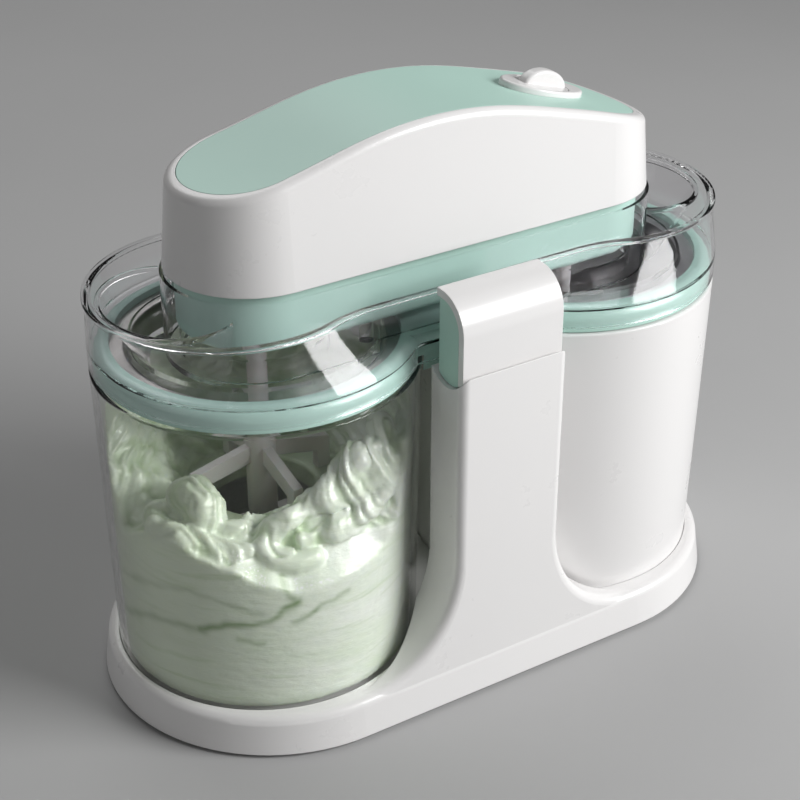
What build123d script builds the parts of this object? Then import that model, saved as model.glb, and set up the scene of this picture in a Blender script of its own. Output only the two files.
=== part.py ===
"""Twin-bowl ice cream maker: base with two pillars, two bowls, clear lid and a motor head.

Frame: millimetres, +Z up, +X along the two bowls, the front is -Y.
The origin is on the table, midway between the two bowls.
"""
import math
import os

from build123d import *

os.makedirs("parts", exist_ok=True)

# ---- layout -------------------------------------------------------------------------------
bowl_spacing = 182.0        # between the two bowl axes
foot_gap = 2.0              # daylight between the table and the base shell
fit_gap = 0.3               # side gap of pieces that drop into one another
bore_gap = 0.08             # running gap of pins and shafts

# ---- base ---------------------------------------------------------------------------------
plinth_radius = 91.0        # end radius of the plinth at its foot
plinth_top_radius = 88.0    # end radius at its top, also the face of the pillars
plinth_height = 20.0
plinth_round = 4.5
plinth_inset = 5.5          # how far the end arcs' centres lie inside the bowl axes
base_wall = 2.6
well_depth = 7.0            # how far the bowls sink into the plinth
plate_thickness = 2.4
foot_radius = 9.0
foot_height = 3.6
foot_x = 132.0
foot_y = 44.0
pillar_half_width = 30.5
pillar_inner = 62.0         # inner face of each pillar, measured from the long axis
pillar_sweep_x = 52.0       # width and height of the curve from pillar to plinth
pillar_sweep_z = 60.0
bowl_air = 1.2              # gap between bowl and the curved flanks

# ---- latches ------------------------------------------------------------------------------
latch_pivot_y = 74.0
latch_pivot_z = 192.0
latch_heel = 14.9           # radius of the rounded heel under the pivot
latch_heel_gap = 0.5
latch_half_width = 28.3
latch_front = 85.0
latch_skin = 4.0
latch_back = 65.0
latch_top = 223.0
latch_round = 18.0
latch_overhang = 62.6
latch_hook = 4.4            # reach of the hook past the back of the body
hook_thickness = 4.0
lug_in = 14.0
lug_width = 4.0
lug_half = 1.9
pin_radius = 1.5
pin_half = 24.0
slot_gap = 0.6

# ---- bowls --------------------------------------------------------------------------------
bowl_top_radius = 80.0      # at the shoulder, level with the lid's skirt
bowl_foot_radius = 77.4
bowl_height = 169.8
bowl_neck = 75.6            # radius of the neck inside the ring
neck_height = 6.4
shoulder_drop = 3.0
bowl_wall = 3.0
bowl_floor = 5.0
outer_wall = 2.2            # skin of the opaque freezer bowl
rim_thickness = 2.2
rim_bore = 62.5             # inside radius of the metal rim
rim_drop = 13.0
rim_lip = 1.4
liner_foot_radius = 59.0
liner_wall = 1.4
liner_floor_lift = 3.6
stub_radius = 3.0           # pivot stub on the floor of each bowl
stub_height = 7.0

# ---- ring frame ---------------------------------------------------------------------------
ring_radius = 78.0
ring_bore = 69.5
ring_top = 190.5
ring_height = 11.5
ring_plate = 3.5
ring_round = 6.0
bridge_half_x = 33.0
bridge_half_y = 46.0
bridge_height = 20.0
bridge_wall = 2.5

# ---- lid ----------------------------------------------------------------------------------
lid_wall = 1.8
lid_gap = 0.3               # between ring and lid skirt
lid_overlap = 8.5           # how far the skirt hangs down over the ring
lid_waist = 58.0
lid_blend = 15.0            # rounding between the waist and the round ends, at the deck
lid_top_blend = 80.0        # the same at the top edge
lid_top = 219.0
lid_top_radius = 66.0
lid_tip = 171.0
lid_bead = 1.3              # how far the bead on the top edge stands out on both sides
dish_radius = 61.6
dish_depth = 7.5
collar_radius = 36.0
collar_height = 8.0
well_wall_top = 225.0
well_wall_gap = 4.6         # between head skirt and the standing wall
mouth_x = 134.0
mouth_rx = 33.0
mouth_ry = 40.0
mouth_z = 217.0
throat_x = 122.5
throat_rx = 23.0
throat_ry = 30.0
catch_half = 20.0
catch_z = 206.0
catch_height = 3.0
catch_reach = 3.7
rest_radius = 3.5           # little posts that the head stands on
rest_y = 27.0

# ---- head ---------------------------------------------------------------------------------
shell_radius = 42.0
shell_bottom = 228.0
shell_taper = 5.0
shell_wall = 2.6
shell_round = 4.5
shell_ceiling = 310.0
wave_points = (             # side view of the head's top, as (x, z)
    (-150.0, 270.0),
    (-128.0, 272.0),
    (-104.0, 276.0),
    (-76.0, 282.5),
    (-45.0, 290.0),
    (-12.0, 293.5),
    (25.0, 290.8),
    (61.0, 282.5),
    (98.0, 272.0),
    (131.0, 260.0),
    (150.0, 252.5),
)
inlay_radius = 32.5
inlay_thickness = 2.4
inlay_gap = 0.25
skirt_radius = 37.0         # lower housing
skirt_bottom = 198.0
skirt_wall = 2.0
skirt_floor = 2.2
skirt_round = 3.5
flange_height = 2.4
post_radius = 4.0
post_end_x = 118.0
post_side_y = 29.0
screw_radius = 1.5
screw_head = 2.9

# ---- gear train ---------------------------------------------------------------------------
drive_teeth = 24
idler_teeth = 36
gear_width = 6.0
gear_lift = 3.0             # from the housing floor to the gears
hub_radius = 8.0
bush_radius = 11.0
bush_flange = 13.0
idler_pin_radius = 3.0
drive_shaft_radius = 3.0
coupling_size = 7.0         # square drive on top of each paddle shaft
coupling_depth = 9.0
plate_lift = 15.0
deck_thickness = 2.4
deck_half_y = 30.0
standoff_x = 66.0
standoff_y = 25.0
gearbox_radius = 24.0
gearbox_height = 15.0
motor_radius = 20.0
motor_height = 38.0

# ---- switch -------------------------------------------------------------------------------
switch_x = 73.0
switch_tilt = 15.8
bezel_length = 48.0
bezel_width = 30.0
bezel_height = 3.2
knob_radius = 13.5
knob_height = 10.5
knob_thickness = 7.5
knob_gap = 0.4
switch_body_size = 22.0
switch_body_height = 15.0
gland_x = 62.0
gland_z = 240.0
gland_radius = 6.0

# ---- paddles ------------------------------------------------------------------------------
shaft_radius = 5.0
paddle_hub_radius = 7.5
paddle_hub_low = 90.0
paddle_hub_high = 147.0
paddle_radius = 54.0
paddle_frame_top = 88.0
paddle_bar = 7.0
paddle_thickness = 5.0
arm_radius = 38.0
arm_high = 130.0
arm_low = 112.0

# ---- ice cream ----------------------------------------------------------------------------
cream_gap = 0.4
cream_bore = 58.0           # room that the turning paddle sweeps
cream_roof_low = 90.0       # the churned mass closes in above the paddle's frame
cream_roof_high = 102.0
cream_mouth = 26.0          # radius of the hole round the paddle's hub
cream_crest = 49.0          # radius and height of the crest outside the arms
cream_crest_z = 131.0
cream_top = 164.0
cream_top_bore = 64.0

# ---- derived ------------------------------------------------------------------------------
bowl_x = bowl_spacing / 2
plinth_top = foot_gap + plinth_height
seat_z = plinth_top - well_depth
bowl_top = seat_z + bowl_height
body_top = bowl_top - neck_height
deck_z = ring_top + lid_wall
skirt_z = ring_top - lid_overlap
well_bore = skirt_radius + well_wall_gap
floor_top = skirt_bottom + skirt_floor
gear_z = floor_top + gear_lift
gear_top = gear_z + gear_width
deck_low = floor_top + plate_lift
deck_high = deck_low + deck_thickness
module = bowl_spacing / 2 / (drive_teeth + idler_teeth)     # tooth size that spans the bowl axes
drive_pitch = module * drive_teeth / 2
idler_pitch = module * idler_teeth / 2
idler_x = drive_pitch + idler_pitch
sides = (("left", -1), ("right", 1))
ends = (("front", -1), ("rear", 1))


def bowl_radius_at(z):
    """Outer radius of a bowl at height z."""
    share = (z - seat_z) / (body_top - seat_z)
    return bowl_foot_radius + (bowl_top_radius - bowl_foot_radius) * share


def slot(half_length, radius, low, high, taper=0.0):
    """A block with a stadium outline whose end arcs centre on x = +-half_length."""
    with BuildPart() as block:
        with BuildSketch(Plane.XY.offset(low)):
            SlotCenterToCenter(2 * half_length, 2 * radius)
        extrude(amount=high - low, taper=taper)
    return block.part


def disc(x, radius, low, high, y=0.0):
    """A plain vertical cylinder."""
    with BuildPart() as block:
        with BuildSketch(Plane.XY.offset(low)):
            with Locations((x, y)):
                Circle(radius)
        extrude(amount=high - low)
    return block.part


def box(x0, x1, y0, y1, z0, z1):
    """A plain block between two corners."""
    with BuildPart() as block:
        with BuildSketch(Plane.XY.offset(z0)):
            with Locations(((x0 + x1) / 2, (y0 + y1) / 2)):
                Rectangle(x1 - x0, y1 - y0)
        extrude(amount=z1 - z0)
    return block.part


def cone(x, low_radius, high_radius, low, high, high_x=None):
    """A loft between two circles; high_x moves the upper one for a leaning cone."""
    with BuildPart() as block:
        with BuildSketch(Plane.XY.offset(low)):
            with Locations((x, 0)):
                Circle(low_radius)
        with BuildSketch(Plane.XY.offset(high)):
            with Locations((x if high_x is None else high_x, 0)):
                Circle(high_radius)
        loft(ruled=True)
    return block.part


def x_rod(x0, x1, y, z, radius):
    """A cylinder along X."""
    with BuildPart() as block:
        with BuildSketch(Plane.YZ.offset(x0)):
            with Locations((y, z)):
                Circle(radius)
        extrude(amount=x1 - x0)
    return block.part


def finish(piece, name):
    """Label a finished piece and write its STEP file."""
    piece.part.label = name
    export_step(piece.part, f"parts/{name}.step")


def under_wave(drop):
    """Everything below the head's top surface lowered by drop."""
    points = [(x, z - drop) for x, z in wave_points]
    with BuildPart() as block:
        with BuildSketch(Plane.XZ.offset(-60)):
            with BuildLine():
                Spline(*points)
                Polyline(points[-1], (points[-1][0], 150), (points[0][0], 150), points[0])
            make_face()
        extrude(amount=120)
    return block.part


# ============================== base ========================================================
flank_taper = math.degrees(math.atan((plinth_radius - plinth_top_radius) / plinth_height))
plinth_end = bowl_x - plinth_inset             # centre of the plinth's end arcs
cavity_top = seat_z - base_wall
trough = latch_heel + latch_heel_gap
pillar_top = latch_pivot_z - 4.0
plate_top = foot_gap + plate_thickness
foot_half = pillar_half_width + pillar_sweep_x
knee = plinth_top + pillar_sweep_z
root = plinth_top - plinth_round
post_spots = [(sx * 150.0, 0.0) for sx in (-1, 1)]
post_spots += [(sx * 100.0, sy * 76.0) for sx in (-1, 1) for sy in (-1, 1)]

with BuildPart() as pillars:
    with BuildSketch(Plane.XZ.offset(-plinth_top_radius)):
        with BuildLine():
            EllipticalCenterArc(
                (foot_half, knee), pillar_sweep_x, pillar_sweep_z, start_angle=180, arc_size=90
            )
            EllipticalCenterArc(
                (-foot_half, knee), pillar_sweep_x, pillar_sweep_z, start_angle=270, arc_size=90
            )
            Polyline(
                (pillar_half_width, knee),
                (pillar_half_width, pillar_top),
                (-pillar_half_width, pillar_top),
                (-pillar_half_width, knee),
            )
            Polyline(
                (-foot_half, plinth_top), (-foot_half, root), (foot_half, root), (foot_half, plinth_top)
            )
        make_face()
    extrude(amount=2 * plinth_top_radius)
    outer_edges = [
        e
        for e in pillars.edges()
        if abs(abs(e.center().Y) - plinth_top_radius) < 0.01
        and abs(e.center().X) > 1
        and e.center().Z > plinth_top
    ]
    fillet(outer_edges, plinth_round)
    add(box(-200, 200, -pillar_inner, pillar_inner, root - 1, 260), mode=Mode.SUBTRACT)
    for _, sx in sides:
        clearing = bowl_top_radius + bowl_air
        add(disc(sx * bowl_x, clearing, root - 1, 260), mode=Mode.SUBTRACT)
    for _, sy in ends:
        add(x_rod(-60, 60, sy * latch_pivot_y, latch_pivot_z, trough), mode=Mode.SUBTRACT)

with BuildPart() as base_shell:
    add(slot(plinth_end, plinth_radius, foot_gap, plinth_top, taper=flank_taper))
    fillet(base_shell.faces().sort_by(Axis.Z)[-1].edges(), plinth_round)
    add(pillars.part)
    inner = plinth_radius - base_wall
    add(slot(plinth_end, inner, foot_gap, cavity_top, taper=flank_taper), mode=Mode.SUBTRACT)
    for _, sy in ends:
        near = sy * (pillar_inner + base_wall)
        far = sy * (plinth_top_radius - base_wall)
        half = pillar_half_width - base_wall
        duct_top = latch_pivot_z - trough - 4
        duct = box(-half, half, min(near, far), max(near, far), cavity_top - 1, duct_top)
        add(duct, mode=Mode.SUBTRACT)
    for _, sx in sides:
        well = bowl_radius_at(plinth_top) + fit_gap
        add(disc(sx * bowl_x, well, seat_z, plinth_top + 20), mode=Mode.SUBTRACT)
    for _, sy in ends:
        for side in (-1, 1):
            x0 = side * (lug_in + lug_width / 2) - lug_width / 2
            y0 = sy * latch_pivot_y
            add(box(x0, x0 + lug_width, y0 - lug_half, y0 + lug_half, duct_top + 2, latch_pivot_z))
            add(x_rod(x0, x0 + lug_width, y0, latch_pivot_z, 2 * pin_radius))
        bore = x_rod(-pin_half - 1, pin_half + 1, sy * latch_pivot_y, latch_pivot_z, pin_radius)
        add(bore, mode=Mode.SUBTRACT)
    for px, py in post_spots:
        add(disc(px, 4.0, plate_top, cavity_top + 1, y=py))
        add(disc(px, screw_radius, plate_top - 1, plate_top + 6, y=py), mode=Mode.SUBTRACT)
finish(base_shell, "base_shell")

with BuildPart() as base_plate:
    edge = plinth_radius - base_wall - fit_gap
    add(slot(plinth_end, edge, foot_gap, plate_top, taper=flank_taper))
    for px, py in post_spots:
        add(disc(px, screw_radius + bore_gap, 0, 20, y=py), mode=Mode.SUBTRACT)
        add(disc(px, screw_head + 0.1, 0, foot_gap + 1.2, y=py), mode=Mode.SUBTRACT)
    for fx in (-foot_x, foot_x):
        for fy in (-foot_y, foot_y):
            add(disc(fx, foot_radius, 0, foot_height, y=fy), mode=Mode.SUBTRACT)
finish(base_plate, "base_plate")

with BuildPart() as base_feet:
    for fx in (-foot_x, foot_x):
        for fy in (-foot_y, foot_y):
            add(disc(fx, foot_radius, 0, foot_height, y=fy))
    chamfer(base_feet.faces().filter_by(Axis.Z).group_by(Axis.Z)[0].edges(), 0.8)
finish(base_feet, "base_feet")

with BuildPart() as base_screws:
    for px, py in post_spots:
        add(disc(px, screw_head, foot_gap + 0.1, foot_gap + 1.2, y=py))
        add(disc(px, screw_radius, foot_gap + 1.2, plate_top + 5, y=py))
finish(base_screws, "base_screws")

with BuildPart() as latch_pins:
    for _, sy in ends:
        add(x_rod(-pin_half, pin_half, sy * latch_pivot_y, latch_pivot_z, pin_radius))
finish(latch_pins, "latch_pins")


# ============================== latches =====================================================
def latch_block(front, top, radius, back):
    """A block with the latch's side view: upright front, rounded shoulder and flat top."""
    corner = radius * (1 - math.sqrt(0.5))
    with BuildPart() as block:
        with BuildSketch(Plane.YZ.offset(-latch_half_width)):
            with BuildLine():
                Line((-front, 0), (-front, top - radius))
                ThreePointArc(
                    (-front, top - radius), (-front + corner, top - corner), (-front + radius, top)
                )
                Polyline((-front + radius, top), (-back, top), (-back, 0), (-front, 0))
            make_face()
        extrude(amount=2 * latch_half_width)
    return block.part


core_front = latch_front - latch_skin
core_top = latch_top - latch_skin
core_round = latch_round - latch_skin
hook_low = catch_z + catch_height + fit_gap

with BuildPart() as above_heel:
    add(box(-60, 60, -120, 0, latch_pivot_z, 260))
    add(x_rod(-60, 60, -latch_pivot_y, latch_pivot_z, latch_heel))

with BuildPart() as latch_cover_front:
    add(latch_block(latch_front, latch_top, latch_round, latch_overhang))
    add(above_heel.part, mode=Mode.INTERSECT)
    add(latch_block(core_front, core_top, core_round, 0), mode=Mode.SUBTRACT)
finish(latch_cover_front, "latch_cover_front")

with BuildPart() as latch_body_front:
    add(latch_block(core_front, core_top, core_round, latch_back))
    add(above_heel.part, mode=Mode.INTERSECT)
    hook_tip = latch_hook - latch_back
    add(box(-catch_half, catch_half, -latch_back - 1, hook_tip, hook_low, hook_low + hook_thickness))
    for side in (-1, 1):
        centre = side * (lug_in + lug_width / 2)
        half = lug_width / 2 + slot_gap
        slot_back = 2 * pin_radius + slot_gap - latch_pivot_y
        slot_top = latch_pivot_z + 2 * pin_radius + slot_gap
        gap = box(centre - half, centre + half, -core_front, slot_back, 150, slot_top)
        add(gap, mode=Mode.SUBTRACT)
    bore = x_rod(-pin_half - 0.5, pin_half + 0.5, -latch_pivot_y, latch_pivot_z, pin_radius + bore_gap)
    add(bore, mode=Mode.SUBTRACT)
finish(latch_body_front, "latch_body_front")

with BuildPart() as latch_cover_rear:
    mirror(latch_cover_front.part, about=Plane.XZ)
finish(latch_cover_rear, "latch_cover_rear")

with BuildPart() as latch_body_rear:
    mirror(latch_body_front.part, about=Plane.XZ)
finish(latch_body_rear, "latch_body_rear")

# ============================== bowls =======================================================
rim_top = bowl_top + rim_thickness
rim_outer = bowl_neck - 0.3
inside_floor = seat_z + bowl_floor


def bowl_skin(x, wall, floor):
    """A tapered bowl with the given wall and floor, and a narrower neck at its top."""
    low = seat_z + floor
    shoulder = body_top - shoulder_drop
    wide = bowl_radius_at(shoulder) - wall
    with BuildPart() as skin:
        add(cone(x, bowl_foot_radius, bowl_top_radius, seat_z, body_top))
        fillet(skin.faces().sort_by(Axis.Z)[-1].edges(), 1.0)
        fillet(skin.faces().sort_by(Axis.Z)[0].edges(), 1.6)
        add(disc(x, bowl_neck, body_top - 2, bowl_top))
        add(cone(x, bowl_radius_at(low) - wall, wide, low, shoulder), mode=Mode.SUBTRACT)
        add(cone(x, wide, bowl_neck - wall, shoulder, body_top), mode=Mode.SUBTRACT)
        add(disc(x, bowl_neck - wall, body_top - 0.01, bowl_top), mode=Mode.SUBTRACT)
    return skin.part


with BuildPart() as bowl_left:
    add(bowl_skin(-bowl_x, bowl_wall, bowl_floor))
    add(disc(-bowl_x, stub_radius, inside_floor - 1, inside_floor + stub_height))
finish(bowl_left, "bowl_left")

with BuildPart() as bowl_rim_left:
    add(disc(-bowl_x, rim_outer, bowl_top, rim_top))
    add(disc(-bowl_x, rim_bore + rim_lip, bowl_top - rim_drop, bowl_top))
    add(disc(-bowl_x, rim_bore, bowl_top - rim_drop - 1, rim_top + 1), mode=Mode.SUBTRACT)
    fillet(bowl_rim_left.faces().sort_by(Axis.Z)[-1].edges().sort_by(SortBy.RADIUS)[0], 1.0)
finish(bowl_rim_left, "bowl_rim_left")

with BuildPart() as bowl_right:
    add(bowl_skin(bowl_x, outer_wall, outer_wall))
finish(bowl_right, "bowl_right")

liner_low = seat_z + liner_floor_lift
with BuildPart() as liner_right:
    add(cone(bowl_x, liner_foot_radius, rim_bore + liner_wall, liner_low, bowl_top))
    add(disc(bowl_x, rim_outer, bowl_top, rim_top))
    hollow = cone(bowl_x, liner_foot_radius - liner_wall, rim_bore, liner_low + liner_wall, rim_top)
    add(hollow, mode=Mode.SUBTRACT)
    add(disc(bowl_x, stub_radius, liner_low + 0.5, liner_low + liner_wall + stub_height))
finish(liner_right, "bowl_liner_right")

with BuildPart() as coolant_right:
    gel_low = seat_z + outer_wall + fit_gap
    gel_top = body_top - shoulder_drop - 1
    skin_gap = outer_wall + fit_gap
    add(
        cone(
            bowl_x,
            bowl_radius_at(gel_low) - skin_gap,
            bowl_radius_at(gel_top) - skin_gap,
            gel_low,
            gel_top,
        )
    )
    growth = (rim_bore + liner_wall - liner_foot_radius) / (bowl_top - liner_low)
    hollow_low = liner_low - fit_gap
    hollow_foot = liner_foot_radius + fit_gap
    hollow_head = hollow_foot + growth * (bowl_top - hollow_low)
    add(cone(bowl_x, hollow_foot, hollow_head, hollow_low, bowl_top), mode=Mode.SUBTRACT)
finish(coolant_right, "coolant_right")

# ============================== ring frame ==================================================
ring_inner = bowl_neck + fit_gap
ring_low = ring_top - ring_height

with BuildPart() as bridge:
    add(box(-bridge_half_x, bridge_half_x, -bridge_half_y, bridge_half_y, ring_top - bridge_height, ring_top))
    fillet(bridge.edges().filter_by(Axis.Z), 4.0)
    inner_x = bridge_half_x + 20
    inner_y = bridge_half_y - bridge_wall
    trough_box = box(-inner_x, inner_x, -inner_y, inner_y, 0, ring_top - bridge_wall)
    add(trough_box, mode=Mode.SUBTRACT)

with BuildPart() as ring_frame:
    for _, sx in sides:
        add(disc(sx * bowl_x, ring_radius, ring_low, ring_top))
    fillet(ring_frame.faces().filter_by(Axis.Z).group_by(Axis.Z)[-1].edges(), ring_round)
    add(bridge.part)
    for _, sx in sides:
        add(disc(sx * bowl_x, bowl_top_radius + 2 * fit_gap, 0, ring_low), mode=Mode.SUBTRACT)
        add(disc(sx * bowl_x, ring_inner, 0, ring_top - ring_plate), mode=Mode.SUBTRACT)
        add(disc(sx * bowl_x, ring_bore, 0, ring_top + 1), mode=Mode.SUBTRACT)
finish(ring_frame, "ring_frame")

# ============================== lid =========================================================
skirt_in = ring_radius + lid_gap
skirt_out = skirt_in + lid_wall
lid_end = lid_tip - lid_top_radius
dish_floor = deck_z - dish_depth
dish_low = dish_floor - lid_wall


def lid_outline(level, centre, radius, waist, blend):
    """Two circles joined by a narrower waist, seen from above, with rounded corners between."""
    with BuildSketch(Plane.XY.offset(level)) as outline:
        with Locations((-centre, 0), (centre, 0)):
            Circle(radius)
        Rectangle(2 * centre, 2 * waist)
        corners = [v for v in outline.vertices() if abs(v.X) < centre and abs(v.Y) > waist - 1]
        fillet(corners, blend)
    return outline.sketch


def lid_cone(inset):
    """The upper wall of the lid as a solid, shrunk by inset."""
    waist = lid_waist - inset
    with BuildPart() as block:
        add(lid_outline(deck_z, bowl_x, skirt_out - inset, waist, lid_blend))
        add(lid_outline(lid_top, lid_end, lid_top_radius - inset, waist, lid_top_blend))
        loft(ruled=True)
    return block.part


def lid_bead_block(grow):
    """A flat slab with the outline of the lid's top edge, grown all round."""
    waist = lid_waist + grow
    with BuildPart() as block:
        add(lid_outline(lid_top - 2.5, lid_end, lid_top_radius + grow, waist, lid_top_blend))
        extrude(amount=2.5)
    return block.part


def funnel(sx, inset):
    """The feed chute at one end as a solid, shrunk by inset."""
    with BuildPart() as block:
        with BuildSketch(Plane.XY.offset(dish_low)):
            with Locations((sx * throat_x, 0)):
                Ellipse(throat_rx - inset, throat_ry - inset)
        with BuildSketch(Plane.XY.offset(mouth_z)):
            with Locations((sx * mouth_x, 0)):
                Ellipse(mouth_rx - inset, mouth_ry - inset)
        loft(ruled=True)
    return block.part


with BuildPart() as upper_wall:
    add(lid_cone(0))
    add(lid_cone(lid_wall), mode=Mode.SUBTRACT)

with BuildPart() as top_bead:
    add(lid_bead_block(lid_bead))
    add(lid_bead_block(-lid_wall - lid_bead), mode=Mode.SUBTRACT)
    fillet(top_bead.faces().filter_by(Axis.Z).edges(), 0.9)

with BuildPart() as well_zone:
    add(box(-200, 200, -100, 100, ring_top, 260))
    for _, sx in sides:
        add(disc(sx * bowl_x, dish_radius - 0.5, dish_low, ring_top + 1))

with BuildPart() as well_wall:
    add(slot(bowl_x, well_bore + lid_wall, dish_low, well_wall_top))
    add(slot(bowl_x, well_bore, 0, 260), mode=Mode.SUBTRACT)
    add(well_zone.part, mode=Mode.INTERSECT)

with BuildPart() as mouth_beads:
    for _, sx in sides:
        with BuildSketch(Plane.XY.offset(mouth_z - 2.4)):
            with Locations((sx * mouth_x, 0)):
                Ellipse(mouth_rx + 0.5, mouth_ry + 0.5)
                Ellipse(mouth_rx - lid_wall - 0.5, mouth_ry - lid_wall - 0.5, mode=Mode.SUBTRACT)
        extrude(amount=2.8)
    fillet(mouth_beads.faces().filter_by(Axis.Z).edges(), 0.9)
    add(slot(bowl_x, well_bore + 1, 0, 260), mode=Mode.SUBTRACT)

with BuildPart() as chutes:
    for _, sx in sides:
        add(funnel(sx, 0))
    add(slot(bowl_x, well_bore + 1, 0, 260), mode=Mode.SUBTRACT)

with BuildPart() as chute_bores:
    for _, sx in sides:
        add(funnel(sx, lid_wall))
    add(slot(bowl_x, well_bore + lid_wall, 0, 260), mode=Mode.SUBTRACT)

with BuildPart() as lid:
    for _, sx in sides:
        add(disc(sx * bowl_x, skirt_out, skirt_z, deck_z))
    add(box(-bowl_x, bowl_x, -lid_waist, lid_waist, skirt_z, deck_z))
    under = lid_waist - lid_wall
    for _, sx in sides:
        add(disc(sx * bowl_x, skirt_in, 0, ring_top), mode=Mode.SUBTRACT)
    add(box(-bowl_x, bowl_x, -under, under, 0, ring_top), mode=Mode.SUBTRACT)
    for _, sx in sides:
        add(disc(sx * bowl_x, dish_radius, dish_low, deck_z))
        add(disc(sx * bowl_x, dish_radius - lid_wall, dish_floor, 260), mode=Mode.SUBTRACT)
        add(disc(sx * bowl_x, collar_radius, dish_low, dish_floor + collar_height))
    add(upper_wall.part)
    add(top_bead.part)
    add(well_wall.part)
    add(chutes.part)
    add(mouth_beads.part)
    add(chute_bores.part, mode=Mode.SUBTRACT)
    for _, sx in sides:
        add(disc(sx * bowl_x, collar_radius - lid_wall, 0, 260), mode=Mode.SUBTRACT)
        for sy in (-1, 1):
            add(disc(sx * idler_x, rest_radius, dish_low, skirt_bottom, y=sy * rest_y))
    for _, sy in ends:
        inside = sy * (lid_waist - lid_wall / 2)
        outside = sy * (lid_waist + 1 + catch_reach)
        low_y = min(inside, outside)
        high_y = max(inside, outside)
        add(box(-catch_half, catch_half, low_y, high_y, catch_z, catch_z + catch_height))
finish(lid, "lid")

# ============================== head ========================================================
under_inlay = shell_wall + inlay_thickness
switch_z = 279.2
tilt = math.radians(switch_tilt)
switch_plane = Plane(
    origin=(switch_x, 0, switch_z),
    x_dir=(math.cos(tilt), 0, -math.sin(tilt)),
    z_dir=(math.sin(tilt), 0, math.cos(tilt)),
)
post_places = [(post_end_x, 0), (-post_end_x, 0), (0, post_side_y), (0, -post_side_y)]


def switch_disc(radius, low, high):
    """A cylinder on the tilted axis of the switch."""
    with BuildPart() as block:
        with BuildSketch(switch_plane.offset(low)):
            Circle(radius)
        extrude(amount=high - low)
    return block.part


with BuildPart() as shell_hollow:
    add(slot(bowl_x, shell_radius - shell_wall, shell_bottom, shell_ceiling, taper=shell_taper))
    add(under_wave(under_inlay), mode=Mode.INTERSECT)

with BuildPart() as shell_posts:
    for px, py in post_places:
        add(disc(px, post_radius, floor_top, shell_ceiling, y=py))
    add(under_wave(inlay_thickness + 1), mode=Mode.INTERSECT)

with BuildPart() as inlay_recess:
    add(slot(bowl_x, inlay_radius + inlay_gap, shell_bottom, shell_ceiling))
    add(under_wave(inlay_thickness), mode=Mode.SUBTRACT)

with BuildPart() as upper_shell:
    add(slot(bowl_x, shell_radius, shell_bottom, shell_ceiling, taper=shell_taper))
    add(under_wave(0), mode=Mode.INTERSECT)
    fillet(upper_shell.faces().sort_by(Axis.Z)[-1].edges(), shell_round)
    add(shell_hollow.part, mode=Mode.SUBTRACT)
    add(inlay_recess.part, mode=Mode.SUBTRACT)
    add(shell_posts.part)
    for px, py in post_places:
        add(disc(px, screw_radius, 0, floor_top + 12, y=py), mode=Mode.SUBTRACT)
    add(switch_disc(4.0, -20, 10), mode=Mode.SUBTRACT)
    with BuildSketch(Plane.XZ.offset(-60)):
        with Locations((gland_x, gland_z)):
            Circle(gland_radius)
    extrude(amount=40, mode=Mode.SUBTRACT)
finish(upper_shell, "upper_shell")

with BuildPart() as top_inlay:
    add(slot(bowl_x, inlay_radius, shell_bottom, shell_ceiling))
    add(under_wave(0), mode=Mode.INTERSECT)
    add(under_wave(inlay_thickness), mode=Mode.SUBTRACT)
    add(switch_disc(4.0, -20, 10), mode=Mode.SUBTRACT)
finish(top_inlay, "top_inlay")

with BuildPart() as lower_housing:
    add(slot(bowl_x, skirt_radius, skirt_bottom, shell_bottom))
    fillet(lower_housing.faces().sort_by(Axis.Z)[0].edges(), skirt_round)
    flange = shell_radius - shell_wall - 2 * fit_gap
    add(slot(bowl_x, flange, shell_bottom, shell_bottom + flange_height))
    inner = skirt_radius - skirt_wall
    add(slot(bowl_x, inner, floor_top, 260), mode=Mode.SUBTRACT)
    for sx in (-1, 1):
        add(disc(sx * idler_x, 2 * idler_pin_radius, floor_top - 1, gear_z - 0.4))
        add(disc(sx * idler_x, idler_pin_radius, floor_top - 1.2, 260), mode=Mode.SUBTRACT)
        add(disc(sx * bowl_x, bush_radius, 0, 260), mode=Mode.SUBTRACT)
        for sy in (-1, 1):
            place = (sx * standoff_x, sy * standoff_y)
            add(disc(place[0], 3.2, floor_top - 1, deck_low, y=place[1]))
            add(disc(place[0], screw_radius, deck_low - 9, 260, y=place[1]), mode=Mode.SUBTRACT)
    for px, py in post_places:
        add(disc(px, screw_radius + bore_gap, 0, 260, y=py), mode=Mode.SUBTRACT)
        add(disc(px, screw_head + 0.1, 0, skirt_bottom + 1.5, y=py), mode=Mode.SUBTRACT)
finish(lower_housing, "lower_housing")

with BuildPart() as housing_screws:
    for px, py in post_places:
        add(disc(px, screw_head, skirt_bottom + 0.2, skirt_bottom + 1.5, y=py))
        add(disc(px, screw_radius, skirt_bottom + 1.5, floor_top + 10, y=py))
finish(housing_screws, "housing_screws")

with BuildPart() as spindle_bushes:
    for sx in (-1, 1):
        add(disc(sx * bowl_x, bush_radius, skirt_bottom, floor_top))
        add(disc(sx * bowl_x, bush_flange, floor_top, floor_top + 1.4))
        add(disc(sx * bowl_x, hub_radius + bore_gap, 0, 260), mode=Mode.SUBTRACT)
finish(spindle_bushes, "spindle_bushes")

with BuildPart() as idler_pins:
    for sx in (-1, 1):
        add(disc(sx * idler_x, idler_pin_radius, floor_top - 1.2, deck_high))
finish(idler_pins, "idler_pins")


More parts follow.
